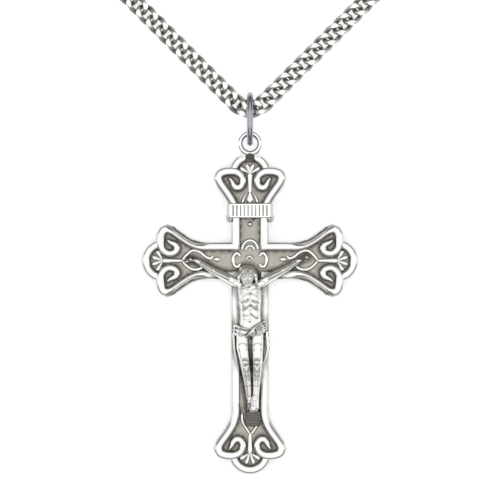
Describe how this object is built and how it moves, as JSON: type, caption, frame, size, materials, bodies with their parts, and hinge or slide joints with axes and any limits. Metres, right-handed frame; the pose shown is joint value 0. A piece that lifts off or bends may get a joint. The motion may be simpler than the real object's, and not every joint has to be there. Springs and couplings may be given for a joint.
{
  "type": "crucifix pendant necklace",
  "caption": "Silver crucifix pendant with scrolled ends and a figure, on an oval ring and an articulated curb chain with its spare length coiled.",
  "frame": {"origin": "on the flat back of the cross, where the arms' centre line meets the post's", "axes": "+X towards the arm at the viewer's right, +Y up the post towards the chain, +Z out of the face"},
  "size_m": [0.0655, 0.1033, 0.0054],
  "materials": {
    "cross_silver": "polished sterling silver, antiqued in the recesses",
    "figure_silver": "satin silver with dark recesses",
    "chain_silver": "polished silver",
    "ring_wire": "bright polished wire",
    "fitting_silver": "polished silver"
  },
  "bodies": {
    "cross": {"cross_body": "cross_silver", "hanging_loop": "cross_silver", "titulus": "cross_silver", "titulus_drop": "cross_silver", "nimbus_top": "cross_silver", "nimbus_left": "cross_silver", "nimbus_right": "cross_silver", "corpus": "figure_silver", "foot_rest": "figure_silver", "nail_left": "figure_silver", "nail_right": "figure_silver", "nail_feet": "figure_silver", "scroll_top": "cross_silver", "scroll_left": "cross_silver", "scroll_right": "cross_silver", "scroll_foot": "cross_silver", "vine_left": "cross_silver", "vine_right": "cross_silver", "vine_foot": "cross_silver"},
    "jump_ring": {"jump_ring": "ring_wire"},
    "chain_apex": {"chain_apex": "chain_silver"},
    "link_left_01": {"link_left_01": "chain_silver"},
    "link_left_02": {"link_left_02": "chain_silver"},
    "link_left_03": {"link_left_03": "chain_silver"},
    "link_left_04": {"link_left_04": "chain_silver"},
    "link_left_05": {"link_left_05": "chain_silver"},
    "link_left_06": {"link_left_06": "chain_silver"},
    "link_left_07": {"link_left_07": "chain_silver"},
    "link_left_08": {"link_left_08": "chain_silver"},
    "link_left_09": {"link_left_09": "chain_silver"},
    "link_left_10": {"link_left_10": "chain_silver"},
    "link_left_11": {"link_left_11": "chain_silver"},
    "link_left_12": {"link_left_12": "chain_silver"},
    "coil_left": {"chain_lead_left": "chain_silver", "chain_coil_left": "chain_silver", "clasp_body": "fitting_silver", "clasp_pin": "fitting_silver", "clasp_spring": "fitting_silver"},
    "link_right_01": {"link_right_01": "chain_silver"},
    "link_right_02": {"link_right_02": "chain_silver"},
    "link_right_03": {"link_right_03": "chain_silver"},
    "link_right_04": {"link_right_04": "chain_silver"},
    "link_right_05": {"link_right_05": "chain_silver"},
    "link_right_06": {"link_right_06": "chain_silver"},
    "link_right_07": {"link_right_07": "chain_silver"},
    "link_right_08": {"link_right_08": "chain_silver"},
    "link_right_09": {"link_right_09": "chain_silver"},
    "link_right_10": {"link_right_10": "chain_silver"},
    "link_right_11": {"link_right_11": "chain_silver"},
    "link_right_12": {"link_right_12": "chain_silver"},
    "coil_right": {"chain_lead_right": "chain_silver", "chain_coil_right": "chain_silver", "end_ring": "fitting_silver"},
    "clasp_lever": {"clasp_lever": "fitting_silver"}
  },
  "joints": [
    {"name": "ring_swing", "type": "hinge", "parent": "cross", "child": "jump_ring", "pos_m": [0, 0.01885, 0.0018], "axis": [1, 0, 0], "range_deg": [-15, 60]},
    {"name": "chain_swing", "type": "hinge", "parent": "jump_ring", "child": "chain_apex", "pos_m": [0, 0.0225, 0.00235], "axis": [1, 0, 0], "range_deg": [-20, 20]},
    {"name": "bend_left_01", "type": "hinge", "parent": "chain_apex", "child": "link_left_01", "pos_m": [-0.00098, 0.02284, 0.00228], "axis": [-0.0358, 0.0358, 0.9987], "range_deg": [0, 4]},
    {"name": "bend_left_02", "type": "hinge", "parent": "link_left_01", "child": "link_left_02", "pos_m": [-0.0027, 0.02392, 0.00215], "axis": [-0.0358, 0.0358, 0.9987], "range_deg": [-10, 10]},
    {"name": "bend_left_03", "type": "hinge", "parent": "link_left_02", "child": "link_left_03", "pos_m": [-0.00417, 0.0254, 0.00204], "axis": [0.0358, -0.0358, -0.9987], "range_deg": [-10, 10]},
    {"name": "bend_left_04", "type": "hinge", "parent": "link_left_03", "child": "link_left_04", "pos_m": [-0.00565, 0.02687, 0.00194], "axis": [-0.0358, 0.0358, 0.9987], "range_deg": [-10, 10]},
    {"name": "bend_left_05", "type": "hinge", "parent": "link_left_04", "child": "link_left_05", "pos_m": [-0.00712, 0.02835, 0.00183], "axis": [0.0358, -0.0358, -0.9987], "range_deg": [-10, 10]},
    {"name": "bend_left_06", "type": "hinge", "parent": "link_left_05", "child": "link_left_06", "pos_m": [-0.0086, 0.02982, 0.00172], "axis": [-0.0358, 0.0358, 0.9987], "range_deg": [-10, 10]},
    {"name": "bend_left_07", "type": "hinge", "parent": "link_left_06", "child": "link_left_07", "pos_m": [-0.01007, 0.03129, 0.00162], "axis": [0.0358, -0.0358, -0.9987], "range_deg": [-10, 10]},
    {"name": "bend_left_08", "type": "hinge", "parent": "link_left_07", "child": "link_left_08", "pos_m": [-0.01154, 0.03277, 0.00151], "axis": [-0.0358, 0.0358, 0.9987], "range_deg": [-10, 10]},
    {"name": "bend_left_09", "type": "hinge", "parent": "link_left_08", "child": "link_left_09", "pos_m": [-0.01302, 0.03424, 0.00141], "axis": [0.0358, -0.0358, -0.9987], "range_deg": [-10, 10]},
    {"name": "bend_left_10", "type": "hinge", "parent": "link_left_09", "child": "link_left_10", "pos_m": [-0.01449, 0.03572, 0.0013], "axis": [-0.0358, 0.0358, 0.9987], "range_deg": [-10, 10]},
    {"name": "bend_left_11", "type": "hinge", "parent": "link_left_10", "child": "link_left_11", "pos_m": [-0.01596, 0.03719, 0.0012], "axis": [0.0358, -0.0358, -0.9987], "range_deg": [-10, 10]},
    {"name": "bend_left_12", "type": "hinge", "parent": "link_left_11", "child": "link_left_12", "pos_m": [-0.01744, 0.03866, 0.00109], "axis": [-0.0358, 0.0358, 0.9987], "range_deg": [-10, 10]},
    {"name": "bend_left_coil", "type": "hinge", "parent": "link_left_12", "child": "coil_left", "pos_m": [-0.01891, 0.04014, 0.00099], "axis": [0, 0, -1], "range_deg": [-10, 10]},
    {"name": "bend_right_01", "type": "hinge", "parent": "chain_apex", "child": "link_right_01", "pos_m": [0.00098, 0.02285, 0.00238], "axis": [-0.0358, -0.0358, -0.9987], "range_deg": [0, 4]},
    {"name": "bend_right_02", "type": "hinge", "parent": "link_right_01", "child": "link_right_02", "pos_m": [0.0027, 0.02393, 0.00236], "axis": [-0.0358, -0.0358, -0.9987], "range_deg": [-10, 10]},
    {"name": "bend_right_03", "type": "hinge", "parent": "link_right_02", "child": "link_right_03", "pos_m": [0.00418, 0.0254, 0.00225], "axis": [0.0358, 0.0358, 0.9987], "range_deg": [-10, 10]},
    {"name": "bend_right_04", "type": "hinge", "parent": "link_right_03", "child": "link_right_04", "pos_m": [0.00565, 0.02688, 0.00215], "axis": [-0.0358, -0.0358, -0.9987], "range_deg": [-10, 10]},
    {"name": "bend_right_05", "type": "hinge", "parent": "link_right_04", "child": "link_right_05", "pos_m": [0.00713, 0.02835, 0.00204], "axis": [0.0358, 0.0358, 0.9987], "range_deg": [-10, 10]},
    {"name": "bend_right_06", "type": "hinge", "parent": "link_right_05", "child": "link_right_06", "pos_m": [0.0086, 0.02983, 0.00193], "axis": [-0.0358, -0.0358, -0.9987], "range_deg": [-10, 10]},
    {"name": "bend_right_07", "type": "hinge", "parent": "link_right_06", "child": "link_right_07", "pos_m": [0.01007, 0.0313, 0.00183], "axis": [0.0358, 0.0358, 0.9987], "range_deg": [-10, 10]},
    {"name": "bend_right_08", "type": "hinge", "parent": "link_right_07", "child": "link_right_08", "pos_m": [0.01155, 0.03277, 0.00172], "axis": [-0.0358, -0.0358, -0.9987], "range_deg": [-10, 10]},
    {"name": "bend_right_09", "type": "hinge", "parent": "link_right_08", "child": "link_right_09", "pos_m": [0.01302, 0.03425, 0.00162], "axis": [0.0358, 0.0358, 0.9987], "range_deg": [-10, 10]},
    {"name": "bend_right_10", "type": "hinge", "parent": "link_right_09", "child": "link_right_10", "pos_m": [0.0145, 0.03572, 0.00151], "axis": [-0.0358, -0.0358, -0.9987], "range_deg": [-10, 10]},
    {"name": "bend_right_11", "type": "hinge", "parent": "link_right_10", "child": "link_right_11", "pos_m": [0.01597, 0.03719, 0.00141], "axis": [0.0358, 0.0358, 0.9987], "range_deg": [-10, 10]},
    {"name": "bend_right_12", "type": "hinge", "parent": "link_right_11", "child": "link_right_12", "pos_m": [0.01744, 0.03867, 0.0013], "axis": [-0.0358, -0.0358, -0.9987], "range_deg": [-10, 10]},
    {"name": "bend_right_coil", "type": "hinge", "parent": "link_right_12", "child": "coil_right", "pos_m": [0.01892, 0.04014, 0.00119], "axis": [0, 0, 1], "range_deg": [-10, 10]},
    {"name": "clasp_open", "type": "hinge", "parent": "coil_left", "child": "clasp_lever", "pos_m": [-0.01705, 0.05657, 0.0009], "axis": [0, 0, 1], "range_deg": [0, 24], "stiffness_Nm_per_rad": 0.002, "springref_deg": -5.73, "deforming": ["clasp_spring"]}
  ]
}
